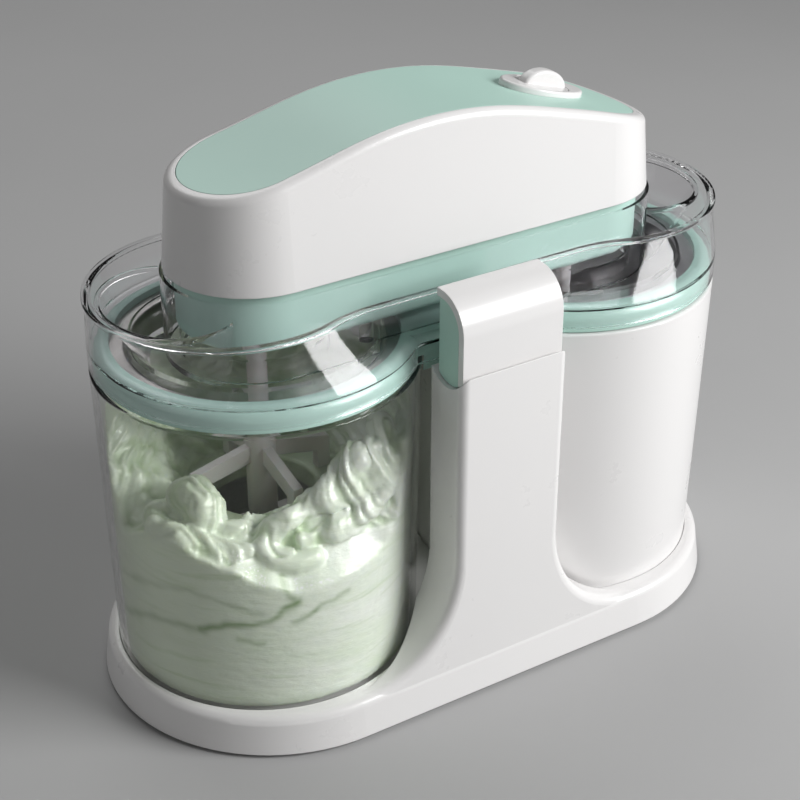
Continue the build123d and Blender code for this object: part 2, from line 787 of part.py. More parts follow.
# ============================== gear train ==================================================
def gear(teeth, phase):
    """A flat spur gear on the Z axis with straight-flanked teeth; phase in degrees."""
    pitch = module * teeth / 2
    tip = pitch + 0.85 * module
    base = pitch - 1.15 * module
    with BuildPart() as wheel:
        with BuildSketch(Plane.XY.offset(gear_z)):
            Circle(base)
            with PolarLocations(0, teeth, start_angle=phase):
                Polygon(
                    (base - 0.6, -0.98 * module),
                    (pitch, -0.65 * module),
                    (tip, -0.32 * module),
                    (tip, 0.32 * module),
                    (pitch, 0.65 * module),
                    (base - 0.6, 0.98 * module),
                    align=None,
                )
        extrude(amount=gear_width)
    return wheel.part


idler_phase = 180.0 / idler_teeth

with BuildPart() as drive_gear:
    add(gear(drive_teeth, 0))
    add(disc(0, hub_radius, gear_top, deck_low - 1))
    add(disc(0, drive_shaft_radius, 0, 260), mode=Mode.SUBTRACT)
finish(drive_gear, "drive_gear")

with BuildPart() as drive_shaft:
    add(disc(0, drive_shaft_radius, gear_z, deck_high + 9))
finish(drive_shaft, "drive_shaft")

for name, sx in sides:
    with BuildPart() as idler_gear:
        add(gear(idler_teeth, idler_phase))
        add(disc(0, hub_radius, gear_top, deck_low - 1))
        add(disc(0, idler_pin_radius + bore_gap, 0, 260), mode=Mode.SUBTRACT)
    with BuildPart() as placed:
        add(idler_gear.part.moved(Location((sx * idler_x, 0, 0))))
    finish(placed, f"idler_gear_{name}")

socket = coupling_size + 2 * 0.25
for name, sx in sides:
    with BuildPart() as output_gear:
        add(gear(drive_teeth, 0))
        add(disc(0, hub_radius, skirt_bottom - 0.5, gear_z))
        add(disc(0, shaft_radius, gear_top, deck_high + 1))
        with BuildSketch(Plane.XY.offset(skirt_bottom - 1)):
            Rectangle(socket, socket)
        extrude(amount=coupling_depth + 1.5, mode=Mode.SUBTRACT)
    with BuildPart() as placed:
        add(output_gear.part.moved(Location((sx * bowl_x, 0, 0))))
    finish(placed, f"output_gear_{name}")

with BuildPart() as gear_plate:
    half_x = bowl_x + 14.0
    add(box(-half_x, half_x, -deck_half_y, deck_half_y, deck_low, deck_high))
    fillet(gear_plate.edges().filter_by(Axis.Z), 6.0)
    add(disc(0, 6.0, 0, 260), mode=Mode.SUBTRACT)
    for sx in (-1, 1):
        add(disc(sx * idler_x, idler_pin_radius, 0, 260), mode=Mode.SUBTRACT)
        add(disc(sx * bowl_x, shaft_radius + bore_gap, 0, 260), mode=Mode.SUBTRACT)
        for sy in (-1, 1):
            hole = disc(sx * standoff_x, screw_radius + bore_gap, 0, 260, y=sy * standoff_y)
            add(hole, mode=Mode.SUBTRACT)
    for px, py in post_places[2:]:
        add(disc(px, post_radius + fit_gap, 0, 260, y=py), mode=Mode.SUBTRACT)
finish(gear_plate, "gear_plate")

with BuildPart() as plate_screws:
    for sx in (-1, 1):
        for sy in (-1, 1):
            x, y = sx * standoff_x, sy * standoff_y
            add(disc(x, screw_head, deck_high, deck_high + 1.6, y=y))
            add(disc(x, screw_radius, deck_low - 8, deck_high, y=y))
finish(plate_screws, "plate_screws")

with BuildPart() as gearbox:
    add(disc(0, gearbox_radius, deck_high, deck_high + gearbox_height))
    add(disc(0, drive_shaft_radius + bore_gap, 0, deck_high + 10), mode=Mode.SUBTRACT)
    fillet(gearbox.faces().sort_by(Axis.Z)[-1].edges(), 1.5)
finish(gearbox, "gearbox")

with BuildPart() as motor:
    motor_low = deck_high + gearbox_height
    add(disc(0, motor_radius, motor_low, motor_low + motor_height))
    fillet(motor.faces().sort_by(Axis.Z)[-1].edges(), 2.0)
    add(disc(0, 5.0, motor_low + motor_height - 1, motor_low + motor_height + 3))
finish(motor, "motor")

# ============================== switch ======================================================
with BuildPart() as switch_bezel:
    with BuildSketch(switch_plane.offset(-4)):
        Ellipse(bezel_length / 2, bezel_width / 2)
    extrude(amount=4 + bezel_height)
    fillet(switch_bezel.faces().sort_by(Axis.Z)[-1].edges(), 1.3)
    add(switch_disc(knob_radius + knob_gap, bezel_height - 1.8, 20), mode=Mode.SUBTRACT)
    add(switch_disc(4.0, -20, 10), mode=Mode.SUBTRACT)
    add(under_wave(0), mode=Mode.SUBTRACT)
finish(switch_bezel, "switch_bezel")

with BuildPart() as switch_knob:
    fin_plane = Plane(
        origin=switch_plane.origin, x_dir=switch_plane.x_dir, z_dir=(0, -1, 0)
    )
    fin_low = bezel_height - 1.0
    with BuildSketch(fin_plane.offset(-knob_thickness / 2)):
        with BuildLine():
            EllipticalCenterArc(
                (0, fin_low), knob_radius - 0.5, knob_height - fin_low, start_angle=0, arc_size=180
            )
            Line((-knob_radius + 0.5, fin_low), (knob_radius - 0.5, fin_low))
        make_face()
    extrude(amount=knob_thickness)
    fillet(switch_knob.edges().filter_by(GeomType.ELLIPSE), 1.8)
    add(switch_disc(knob_radius, bezel_height - 1.5, bezel_height - 0.3))
    add(switch_disc(3.0, -16, bezel_height - 1))
finish(switch_knob, "switch_knob")

with BuildPart() as switch_body:
    body_top = -(under_inlay * math.cos(tilt) + fit_gap)
    with BuildSketch(switch_plane.offset(body_top - switch_body_height)):
        Rectangle(switch_body_size, switch_body_size)
    extrude(amount=switch_body_height)
    add(switch_disc(3.0 + bore_gap, -40, 10), mode=Mode.SUBTRACT)
finish(switch_body, "switch_body")

with BuildPart() as cord_gland:
    drop = (gland_z - shell_bottom) * math.tan(math.radians(shell_taper))
    face = shell_radius - drop
    with BuildSketch(Plane.XZ.offset(-face - 3.2)):
        with Locations((gland_x, gland_z)):
            Circle(gland_radius + 2.5)
    extrude(amount=2.2)
    with BuildSketch(Plane.XZ.offset(-face - 1.2)):
        with Locations((gland_x, gland_z)):
            Circle(gland_radius - 0.1)
    extrude(amount=6)
    with BuildSketch(Plane.XZ.offset(-face - 9)):
        with Locations((gland_x, gland_z)):
            Circle(3.4)
    extrude(amount=30, mode=Mode.SUBTRACT)
finish(cord_gland, "cord_gland")

# ============================== paddles =====================================================
paddle_low = inside_floor + 1.0
shaft_top = skirt_bottom - 1.5

for name, sx in sides:
    with BuildPart() as dasher:
        add(disc(0, shaft_radius, paddle_low, shaft_top))
        add(disc(0, paddle_hub_radius, paddle_hub_low, paddle_hub_high))
        with BuildSketch(Plane.XY.offset(shaft_top)):
            Rectangle(coupling_size, coupling_size)
        extrude(amount=coupling_depth)
        low_bar = paddle_low + 1.0
        half = paddle_thickness / 2
        add(box(-paddle_radius, paddle_radius, -half, half, low_bar, low_bar + paddle_bar))
        add(box(-paddle_radius, paddle_radius, -half, half, paddle_frame_top - paddle_bar, paddle_frame_top))
        for side in (-1, 1):
            outer = side * (paddle_radius - paddle_bar / 2)
            middle = side * paddle_radius / 2
            for centre, width in ((outer, paddle_bar), (middle, paddle_bar - 2)):
                x0 = centre - width / 2
                add(box(x0, x0 + width, -half, half, low_bar, paddle_frame_top))
        for turn in range(4):
            with BuildSketch(Plane.XZ.rotated((0, 0, 90 * turn)).offset(-half)):
                Polygon(
                    (0, arm_high),
                    (0, arm_high - paddle_bar - 2),
                    (arm_radius - paddle_bar, arm_low + 2),
                    (arm_radius - paddle_bar, arm_low - 8),
                    (arm_radius, arm_low - 8),
                    (arm_radius, arm_low + paddle_bar + 2),
                    align=None,
                )
            extrude(amount=2 * half)
        bore = stub_radius + bore_gap
        add(disc(0, bore, 0, inside_floor + stub_height + 0.6), mode=Mode.SUBTRACT)
    with BuildPart() as placed:
        add(dasher.part.moved(Location((sx * bowl_x, 0, 0))))
    finish(placed, f"paddle_{name}")

# ============================== ice cream ===================================================
with BuildPart() as ice_cream:
    low = inside_floor + cream_gap
    shrink = bowl_wall + cream_gap
    add(cone(-bowl_x, bowl_radius_at(low) - shrink, bowl_radius_at(cream_top) - shrink, low, cream_top))
    add(disc(-bowl_x, cream_bore, 0, cream_roof_low), mode=Mode.SUBTRACT)
    add(disc(-bowl_x, cream_mouth, 0, 260), mode=Mode.SUBTRACT)
    crater = cone(-bowl_x, arm_radius + 2, cream_crest, cream_roof_high, cream_crest_z)
    add(crater, mode=Mode.SUBTRACT)
    basin = cone(-bowl_x, cream_crest, cream_top_bore, cream_crest_z, cream_top)
    add(basin, mode=Mode.SUBTRACT)
finish(ice_cream, "ice_cream")
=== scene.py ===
"""Looks of the twin-bowl ice cream maker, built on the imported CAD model. Metres, +Z up, the front is -Y."""
import math

import bmesh
import bpy
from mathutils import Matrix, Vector, noise


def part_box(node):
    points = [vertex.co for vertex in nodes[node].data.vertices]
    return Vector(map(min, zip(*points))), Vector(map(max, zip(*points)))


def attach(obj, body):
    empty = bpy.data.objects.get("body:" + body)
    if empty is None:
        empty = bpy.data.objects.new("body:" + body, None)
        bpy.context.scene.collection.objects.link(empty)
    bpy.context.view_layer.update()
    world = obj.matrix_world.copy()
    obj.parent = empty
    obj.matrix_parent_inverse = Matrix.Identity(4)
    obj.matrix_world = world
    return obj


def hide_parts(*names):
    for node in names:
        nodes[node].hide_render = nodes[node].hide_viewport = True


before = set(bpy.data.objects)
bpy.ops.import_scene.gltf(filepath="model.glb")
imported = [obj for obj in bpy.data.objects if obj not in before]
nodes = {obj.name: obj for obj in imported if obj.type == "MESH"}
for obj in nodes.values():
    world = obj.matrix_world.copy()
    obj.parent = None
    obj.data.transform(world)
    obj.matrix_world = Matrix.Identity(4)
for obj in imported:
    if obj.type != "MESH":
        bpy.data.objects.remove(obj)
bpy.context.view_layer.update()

scene = bpy.context.scene


# ---- material helpers ---------------------------------------------------------------------
class Tree:
    """A material with a Principled shader and short calls for adding nodes."""

    def __init__(self, name, **values):
        self.material = bpy.data.materials.new(name)
        self.material.use_nodes = True
        self.tree = self.material.node_tree
        self.tree.nodes.clear()
        self.out = self.tree.nodes.new("ShaderNodeOutputMaterial")
        self.shader = self.tree.nodes.new("ShaderNodeBsdfPrincipled")
        self.join(self.shader.outputs[0], self.out.inputs[0])
        for key, value in values.items():
            self.shader.inputs[key.replace("_", " ")].default_value = value
        self.place = self.node("ShaderNodeTexCoord").outputs["Object"]

    def join(self, a, b):
        self.tree.links.new(a, b)

    def node(self, kind, **settings):
        made = self.tree.nodes.new(kind)
        for key, value in settings.items():
            setattr(made, key, value)
        return made

    def stretch(self, scale, source=None):
        """Object coordinates with their own scale on each axis."""
        mapping = self.node("ShaderNodeMapping")
        mapping.inputs["Scale"].default_value = scale
        self.join(source or self.place, mapping.inputs["Vector"])
        return mapping.outputs[0]

    def noise(self, scale, detail=3.0, roughness=0.55, source=None, distortion=0.0):
        made = self.node("ShaderNodeTexNoise")
        made.inputs["Scale"].default_value = scale
        made.inputs["Detail"].default_value = detail
        made.inputs["Roughness"].default_value = roughness
        made.inputs["Distortion"].default_value = distortion
        self.join(source or self.place, made.inputs["Vector"])
        return made.outputs["Fac"]

    def ramp(self, source, *stops):
        """A colour ramp; each stop is (position, colour)."""
        made = self.node("ShaderNodeValToRGB")
        band = made.color_ramp
        while len(band.elements) < len(stops):
            band.elements.new(0.5)
        for element, (position, colour) in zip(band.elements, stops):
            element.position = position
            element.color = (*colour, 1.0)
        self.join(source, made.inputs[0])
        return made.outputs[0]

    def span(self, source, low, high, start=0.0, stop=1.0):
        made = self.node("ShaderNodeMapRange")
        for key, value in zip(("From Min", "From Max", "To Min", "To Max"), (start, stop, low, high)):
            made.inputs[key].default_value = value
        self.join(source, made.inputs["Value"])
        return made.outputs[0]

    def math(self, operation, a, b=None):
        made = self.node("ShaderNodeMath", operation=operation)
        for socket, value in zip(made.inputs, (a, b)):
            if isinstance(value, (int, float)):
                socket.default_value = value
            elif value is not None:
                self.join(value, socket)
        return made.outputs[0]

    def mix(self, share, a, b, blend="MIX"):
        made = self.node("ShaderNodeMix", data_type="RGBA", blend_type=blend)
        colours = [s for s in made.inputs if s.type == "RGBA"]
        factor = [s for s in made.inputs if s.name == "Factor"][0]
        for socket, value in ((factor, share), (colours[0], a), (colours[1], b)):
            if isinstance(value, (int, float)):
                socket.default_value = value
            elif isinstance(value, tuple):
                socket.default_value = (*value, 1.0)
            else:
                self.join(value, socket)
        return [s for s in made.outputs if s.type == "RGBA"][0]

    def bump(self, height, distance, strength=1.0, normal=None):
        made = self.node("ShaderNodeBump")
        made.inputs["Strength"].default_value = strength
        made.inputs["Distance"].default_value = distance
        self.join(height, made.inputs["Height"])
        if normal is not None:
            self.join(normal, made.inputs["Normal"])
        return made.outputs[0]

    def rounded(self, radius):
        """Normals that catch light along edges as if they had this radius."""
        made = self.node("ShaderNodeBevel", samples=6)
        made.inputs["Radius"].default_value = radius
        return made.outputs[0]


def moulded(name, colour, rough=(0.27, 0.30), edge=0.0006, grain=900.0, depth=0.000005, **values):
    """Injection-moulded plastic: faint flow marks in the colour, orange peel and soft edges."""
    m = Tree(name, **values)
    flow = m.noise(9.0, detail=4.0, source=m.stretch((1.0, 1.0, 0.45)))
    dark = tuple(c * 0.993 for c in colour)
    light = tuple(min(1.0, c * 1.007) for c in colour)
    m.join(m.ramp(flow, (0.2, dark), (0.8, light)), m.shader.inputs["Base Color"])
    handled = m.noise(38.0, detail=5.0, roughness=0.62)
    m.join(m.span(handled, *rough, start=0.3, stop=0.7), m.shader.inputs["Roughness"])
    peel = m.noise(grain, detail=2.0)
    m.join(m.bump(peel, depth, normal=m.rounded(edge)), m.shader.inputs["Normal"])
    return m.material


def clear_plastic(name, tint, ior, rough, through):
    """Clear moulded plastic that lets lamps through to what is inside."""
    m = Tree(name, Base_Color=(*tint, 1.0), Transmission_Weight=1.0, IOR=ior)
    m.shader.inputs["Coat Weight"].default_value = 0.55
    m.shader.inputs["Coat Roughness"].default_value = 0.04
    smear = m.noise(24.0, detail=4.0, roughness=0.6, source=m.stretch((1.0, 1.0, 0.35)))
    m.join(m.span(smear, *rough, start=0.35, stop=0.75), m.shader.inputs["Roughness"])
    ripple = m.noise(60.0, detail=2.0)
    m.join(m.bump(ripple, 0.00006), m.shader.inputs["Normal"])
    open_way = m.node("ShaderNodeBsdfTransparent")
    open_way.inputs[0].default_value = (*through, 1.0)
    path = m.node("ShaderNodeLightPath")
    either = m.math("MAXIMUM", path.outputs["Is Shadow Ray"], path.outputs["Is Diffuse Ray"])
    both = m.node("ShaderNodeMixShader")
    m.join(either, both.inputs[0])
    m.join(m.shader.outputs[0], both.inputs[1])
    m.join(open_way.outputs[0], both.inputs[2])
    m.join(both.outputs[0], m.out.inputs[0])
    return m.material


def metal(name, colour, rough, lay=(1.0, 1.0, 60.0), depth=0.00002):
    """Metal with a fine lay of machining or brushing marks."""
    m = Tree(name, Metallic=1.0)
    marks = m.noise(420.0, detail=3.0, source=m.stretch(lay))
    stain = m.noise(30.0, detail=4.0)
    dark = tuple(c * 0.82 for c in colour)
    m.join(m.ramp(stain, (0.3, dark), (0.7, colour)), m.shader.inputs["Base Color"])
    m.join(m.span(marks, *rough, start=0.3, stop=0.7), m.shader.inputs["Roughness"])
    m.join(m.bump(marks, depth, normal=m.rounded(0.0003)), m.shader.inputs["Normal"])
    return m.material


WHITE = (0.80, 0.79, 0.785)
MINT = (0.49, 0.71, 0.63)

white = moulded("white_moulding", WHITE, Coat_Weight=0.25, Coat_Roughness=0.08)
mint = moulded("mint_moulding", MINT, rough=(0.28, 0.4), Coat_Weight=0.15, Coat_Roughness=0.12)
inlay = moulded("mint_inlay", MINT, rough=(0.36, 0.42), grain=1500.0, depth=0.00001)
grey = moulded("grey_moulding", (0.16, 0.165, 0.17), rough=(0.45, 0.6))
acetal = moulded("white_acetal", (0.62, 0.60, 0.585), rough=(0.35, 0.5), Subsurface_Weight=0.1)
rubber = moulded("black_rubber", (0.025, 0.025, 0.027), rough=(0.6, 0.75), grain=1800.0, depth=0.00008)
gel = moulded("blue_gel", (0.25, 0.52, 0.78), rough=(0.2, 0.3))
lid_clear = clear_plastic("clear_lid", (0.985, 0.98, 0.99), 1.12, (0.02, 0.05), (0.97, 0.97, 0.975))
bowl_clear = clear_plastic("clear_bowl", (0.985, 0.99, 0.985), 1.16, (0.02, 0.06), (0.99, 0.99, 0.99))
rim_metal = metal("brushed_rim", (0.46, 0.45, 0.43), (0.28, 0.42), lay=(1.0, 1.0, 0.2))
liner_metal = metal("spun_liner", (0.56, 0.565, 0.57), (0.3, 0.45), lay=(0.3, 0.3, 4.0))
steel = metal("machined_steel", (0.52, 0.53, 0.54), (0.25, 0.4))
bronze = metal("sintered_bronze", (0.58, 0.36, 0.16), (0.35, 0.5))

finishes = {
    "base_shell": white, "base_plate": grey, "base_feet": rubber, "base_screws": steel,
    "latch_pins": steel, "latch_cover_front": white, "latch_cover_rear": white,
    "latch_body_front": mint, "latch_body_rear": mint, "bowl_left": bowl_clear,
    "bowl_rim_left": rim_metal, "bowl_right": white, "bowl_liner_right": liner_metal,
    "coolant_right": gel, "ring_frame": mint, "lid": lid_clear, "upper_shell": white,
    "top_inlay": inlay, "lower_housing": mint, "housing_screws": steel,
    "spindle_bushes": bronze, "idler_pins": steel, "drive_gear": acetal,
    "drive_shaft": steel, "idler_gear_left": acetal, "idler_gear_right": acetal,
    "output_gear_left": acetal, "output_gear_right": acetal, "gear_plate": grey,
    "plate_screws": steel, "gearbox": grey, "motor": steel, "switch_bezel": white,
    "switch_knob": white, "switch_body": grey, "cord_gland": rubber,
    "paddle_left": acetal, "paddle_right": acetal, "ice_cream": acetal,
}
for name, piece in nodes.items():
    piece.data.materials.clear()
    piece.data.materials.append(finishes[name])

# ---- ice cream ------------------------------------------------------------------------------
# Heights and radii in millimetres about the left bowl's axis, angles in degrees from +X.
CONTACT = (       # where the cream's top meets the bowl's wall
    (-180, 102), (-168, 108), (-152, 114), (-140, 107), (-130, 103), (-119, 95), (-105, 88), (-95, 89),
    (-85, 90), (-70, 92), (-60, 102), (-54, 125), (-47, 143), (-30, 150), (0, 155), (40, 160), (90, 162),
    (130, 160), (150, 152), (165, 132), (180, 102),
)
CREST_HEIGHT = (  # the lip round the crater that the paddle leaves
    (-180, 119), (-165, 122), (-150, 116), (-139, 111), (-133, 112), (-126, 116), (-117, 117), (-105, 120),
    (-95, 124), (-87, 126), (-78, 131), (-66, 141), (-60, 146), (-50, 140), (-30, 122), (0, 113), (60, 112),
    (120, 112), (150, 114), (180, 119),
)
CREST_RADIUS = (
    (-180, 47), (-150, 46), (-120, 44.5), (-95, 45.5), (-75, 49), (-62, 53), (-50, 55), (-35, 50), (0, 46),
    (90, 46), (150, 46), (180, 47),
)
FOLDS = (         # ropes of cream on the surface: (angle, radius, height, thickness)
    ((-165, 51, 121, 8.5), (-158, 50, 123, 10.5), (-151, 51.5, 121, 10.5), (-147, 54.5, 115, 9),
     (-150, 60, 109, 8)),
    ((-172, 62, 112, 7), (-163, 66, 109, 7.5), (-152, 66.5, 111, 7), (-142, 66, 108, 6), (-134, 67, 104, 5)),
    ((-92, 50, 116, 5.5), (-104, 50, 114, 6.5), (-113, 52, 110.5, 7), (-118, 57, 105, 6.5), (-113, 62, 100, 6.5),
     (-104, 64, 98, 6), (-96, 64, 99, 5)),
    ((-99, 57, 106, 4.5), (-91, 58, 105.5, 5.5), (-84, 60, 106, 6), (-76, 62, 108, 5.5)),
    ((-101, 48, 117, 4), (-92, 49, 119, 5), (-83, 52, 121, 6), (-73, 57, 122, 6.5), (-63, 62, 125, 6.5),
     (-55, 66, 130, 6)),
    ((-84, 60, 108, 5), (-72, 63, 111, 6.5), (-62, 66, 117, 7), (-55, 66.5, 127, 6.5), (-51, 67, 138, 5)),
    ((-63, 54, 139, 6.5), (-65, 55.5, 135, 8), (-70, 55, 128, 8), (-79, 52, 124, 6), (-89, 49, 121, 4.5)),
    ((-56, 60, 139, 5.5), (-58, 60.5, 132, 6.5), (-64, 60, 126, 6), (-73, 58, 121, 5)),
    ((-45, 62, 146, 6), (-48, 63, 140, 6.5), (-52, 63.5, 133, 6)),
    ((-128, 52, 112, 3.5), (-138, 55, 110, 4.5), (-146, 60, 110, 5)),
    ((-125, 60, 104, 5), (-133, 63, 104, 6), (-141, 63, 107, 6)),
)
STREAKS = (       # pigment drawn out along the glass: ((angle, height), ...), width, strength
    (((-143, 65.5), (-133, 70.5), (-124, 71.5), (-117, 73), (-112, 78), (-106, 83)), 2.0, 1.0),
    (((-106, 83), (-109, 88), (-111, 94)), 1.6, 0.75),
    (((-86, 81), (-94, 79.5), (-100, 75.5), (-107, 71)), 1.7, 0.65),
    (((-128, 62), (-119, 60.5)), 1.8, 0.55),
    (((-200, 42), (-168, 61), (-152, 65), (-141, 65)), 2.2, 0.6),
    (((-200, 68), (-165, 83), (-146, 87), (-130, 83), (-119, 77)), 1.5, 0.35),
    (((-30, 32), (-36, 25), (-54, 22.5), (-68, 22)), 2.2, 0.6),
)
FOAM = (          # bubbles left along the cream's edge
    ((-129, 107), (-124, 101), (-118, 96)), ((-105, 91), (-100, 90), (-93, 89.5)), ((-57, 108), (-52, 118)),
)
PADDLE_ROOM, ARM_ROOM, HUB_ROOM = 58.4, 39.6, 27.0       # radii that the turning paddle needs
BOTTOM, ROOF_LOW, ROOF_HIGH, TOP = 20.7, 90.6, 102.9, 163.5
WALL_RADIUS, WALL_HEIGHT, WALL_LEAN = 73.5, 15.0, 0.0159  # the cream's side, and how it widens with height
GLASS_RADIUS = 74.0                                       # for distances drawn over the glass
VOXEL = 0.0011
ROPE_STEP = 1.6
MM = 1000.0
AXIS = (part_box("ice_cream")[0][0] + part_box("ice_cream")[1][0]) / 2 * MM
OCTAVE_SHARE, OCTAVE_SCALE = 0.45, 2.1
SWELL_HEIGHT, SWELL_MIDDLE = 5.5, 0.34                    # large folds
RIPPLE_HEIGHT, RIPPLE_MIDDLE = 1.0, 0.3                   # small folds
CREASE = 0.42                                             # swell below which a crease starts
SWELL_SHIFT, RIPPLE_SHIFT = Vector((3.1, 0.4, 7.7)), Vector((0.0, 9.0, 2.0))


def along(table, angle):
    """Value of a table at an angle in degrees, eased between its rows."""
    for (a, low), (b, high) in zip(table, table[1:]):
        if a <= angle <= b:
            t = (angle - a) / (b - a)
            return low + (high - low) * t * t * (3.0 - 2.0 * t)
    return table[-1][1]


def clamp(value):
    return max(0.0, min(1.0, value))


def wall(height):
    """Radius of the cream against the bowl, at a height."""
    return WALL_RADIUS + WALL_LEAN * (height - WALL_HEIGHT)


def place(angle, radius, height):
    """The point in metres at an angle, radius and height."""
    a = math.radians(angle)
    return Vector(((AXIS + radius * math.cos(a)) / MM, radius * math.sin(a) / MM, height / MM))


def section(angle):
    """Closed outline of the cream at one angle, as (radius, height)."""
    touch = along(CONTACT, angle)
    lip, lip_height = along(CREST_RADIUS, angle), along(CREST_HEIGHT, angle)
    levels = [BOTTOM + (touch - BOTTOM) * i / 20 for i in range(21)]
    rows = [(wall(level), level) for level in levels]
    for i in range(1, 15):
        s = 1.0 - i / 14
        rows.append((lip + (wall(touch) - lip) * s, lip_height + (touch - lip_height) * s ** 0.8))
    for i in range(1, 7):
        rows.append((lip + (ARM_ROOM + 0.4 - lip) * i / 6, lip_height + (ROOF_HIGH + 0.5 - lip_height) * i / 6))
    rows += [(33.0, ROOF_HIGH), (HUB_ROOM, ROOF_HIGH), (HUB_ROOM, ROOF_LOW), (42.0, ROOF_LOW)]
    rows.append((PADDLE_ROOM, ROOF_LOW))
    rows += [(PADDLE_ROOM, ROOF_LOW + (BOTTOM - ROOF_LOW) * i / 12) for i in range(1, 13)]
    rows.append((66.0, BOTTOM))
    return rows


def cream_blank():
    """The settled mass and its ropes as one closed voxel skin."""
    loops = [[place(a, r, z) for r, z in section(a)] for a in range(-180, 180, 2)]
    rows = len(loops[0])
    points = [tuple(p) for loop in loops for p in loop]
    faces = []
    for k in range(len(loops)):
        near, far = k * rows, (k + 1) % len(loops) * rows
        faces += [(near + i, near + (i + 1) % rows, far + (i + 1) % rows, far + i) for i in range(rows)]
    shape = bmesh.new()
    bmesh.ops.create_icosphere(shape, subdivisions=2, radius=0.001)
    ball = [v.co.copy() for v in shape.verts]
    ball_faces = [tuple(v.index for v in f.verts) for f in shape.faces]
    shape.free()
    for fold in FOLDS:
        for (a0, r0, z0, w0), (a1, r1, z1, w1) in zip(fold, fold[1:]):
            length = (place(a0, r0, z0) - place(a1, r1, z1)).length * MM
            steps = max(2, round(length / ROPE_STEP))
            for i in range(steps + 1):
                t = i / steps
                centre = place(a0 + (a1 - a0) * t, r0 + (r1 - r0) * t, z0 + (z1 - z0) * t)
                first, size = len(points), w0 + (w1 - w0) * t
                points += [tuple(centre + p * size) for p in ball]
                faces += [tuple(first + i for i in f) for f in ball_faces]
    mesh = bpy.data.meshes.new("cream_blank")
    mesh.from_pydata(points, [], faces)
    mesh.validate()
    blank = bpy.data.objects.new("cream_blank", mesh)
    scene.collection.objects.link(blank)
    skin = blank.modifiers.new("skin", "REMESH")
    skin.mode, skin.voxel_size, skin.adaptivity = "VOXEL", VOXEL, 0.0
    soften = blank.modifiers.new("soften", "SMOOTH")
    soften.factor, soften.iterations = 0.5, 6
    made = bpy.data.meshes.new_from_object(blank.evaluated_get(bpy.context.evaluated_depsgraph_get()))
    bpy.data.objects.remove(blank)
    return made


def gap_to_line(line, angle, height):
    """Distance in millimetres over the bowl's wall from a point to a drawn line."""
    best = 1e9
    k = math.radians(1.0) * GLASS_RADIUS
    for (a0, z0), (a1, z1) in zip(line, line[1:]):
        dx, dy = (a1 - a0) * k, z1 - z0
        px, py = (angle - a0) * k, height - z0
        t = clamp((px * dx + py * dy) / (dx * dx + dy * dy))
        best = min(best, math.hypot(px - t * dx, py - t * dy))
    return best


def billow(point, octaves=3):
    """Rounded swells with sharp creases between them, 0 in the creases."""
    total, share, scale = 0.0, 1.0, 1.0
    for _ in range(octaves):
        total += abs(noise.noise(point * scale)) * share
        share *= OCTAVE_SHARE
        scale *= OCTAVE_SCALE
    return total


def keep_clear(radius, height):
    """Moves a point out of the paddle's sweep and off the bowl's wall."""
    radius = min(radius, wall(height))
    height = max(BOTTOM, min(TOP, height))
    if height < ROOF_LOW and radius < PADDLE_ROOM:
        if ROOF_LOW - height < PADDLE_ROOM - radius:
            height = ROOF_LOW
        else:
            radius = PADDLE_ROOM
    if height >= ROOF_LOW:
        if height > ROOF_HIGH and radius < ARM_ROOM:
            if height - ROOF_HIGH < ARM_ROOM - radius:
                height = ROOF_HIGH
            else:
                radius = ARM_ROOM
        radius = max(radius, HUB_ROOM)
    return radius, height


def pigment(x, y, p, turned):
    """How strongly the drawn streaks colour a point."""
    wide = 1.0 + 0.5 * noise.noise(Vector((x, y, p.z)) * 0.08)
    height = p.z + 1.5 * noise.noise(Vector((x, y, p.z)) * 0.15)
    drawn = 0.0
    for line, width, strength in STREAKS:
        away = gap_to_line(line, turned, height)
        drawn = max(drawn, strength * math.exp(-((away / (width * wide)) ** 2)))
    return drawn


cream_mesh = cream_blank()
crease_shade, streak, foam, painted_shade = [], [], [], []
spots = [(v.co * MM, v.normal.copy()) for v in cream_mesh.vertices]
moved = []
for p, n in spots:
    x, y = p.x - AXIS, p.y
    r, angle = math.hypot(x, y), math.degrees(math.atan2(y, x))
    free = clamp((wall(p.z) - 0.6 - r) / 3.0) * (1.0 if p.z > ROOF_HIGH + 1.0 else 0.0)
    back = clamp((math.sin(math.radians(angle)) + 0.25) / 0.5)

    # folds run round the bowl and bend with the slope; at the back they stand nearly upright
    slope = (r - 44.0) * 0.05 + (p.z - 110.0) * 0.035
    warp = noise.noise(Vector((x, y, p.z)) * 0.03) * 0.8
    around = (x / r * 1.25 + slope * 0.2, y / r * 1.25 + slope * 0.3)
    flow = Vector((*around, slope * (1.9 - 1.2 * back) + warp))
    swell = billow(flow * 1.25 + SWELL_SHIFT)
    ripple = billow(flow * 5.0 + RIPPLE_SHIFT, 2)
    depth = (swell - SWELL_MIDDLE) * SWELL_HEIGHT + (ripple - RIPPLE_MIDDLE) * RIPPLE_HEIGHT
    p += n * depth * free
    radius, height = keep_clear(math.hypot(p.x - AXIS, p.y), p.z)
    moved.extend(place(math.degrees(math.atan2(p.y, p.x - AXIS)), radius, height))

    turned = angle - 360.0 if angle > 100.0 else angle
    # painted shade: how deep a point sits in a crease, so that it can be darkened
    crease_shade.append(free * clamp(1.0 - swell / CREASE))
    streak.append(pigment(x, y, p, turned) if r > 62.0 else 0.0)
    inside = clamp((along(CREST_RADIUS, angle) + 2.0 - r) / 5.0) * (r < 60.0)
    side = clamp((-85.0 - turned) / 60.0)
    # painted shade: moss green inside the crater, on the left side away from the key lamp and at the back
    painted_shade.append(max(0.9 * inside, 0.5 * side, 0.55 * back))
    near = min(gap_to_line(line, turned, p.z) for line in FOAM)
    foam.append(math.exp(-((near / 3.0) ** 2)) if r > 66.0 else 0.0)
cream_mesh.vertices.foreach_set("co", moved)
cream_mesh.update()
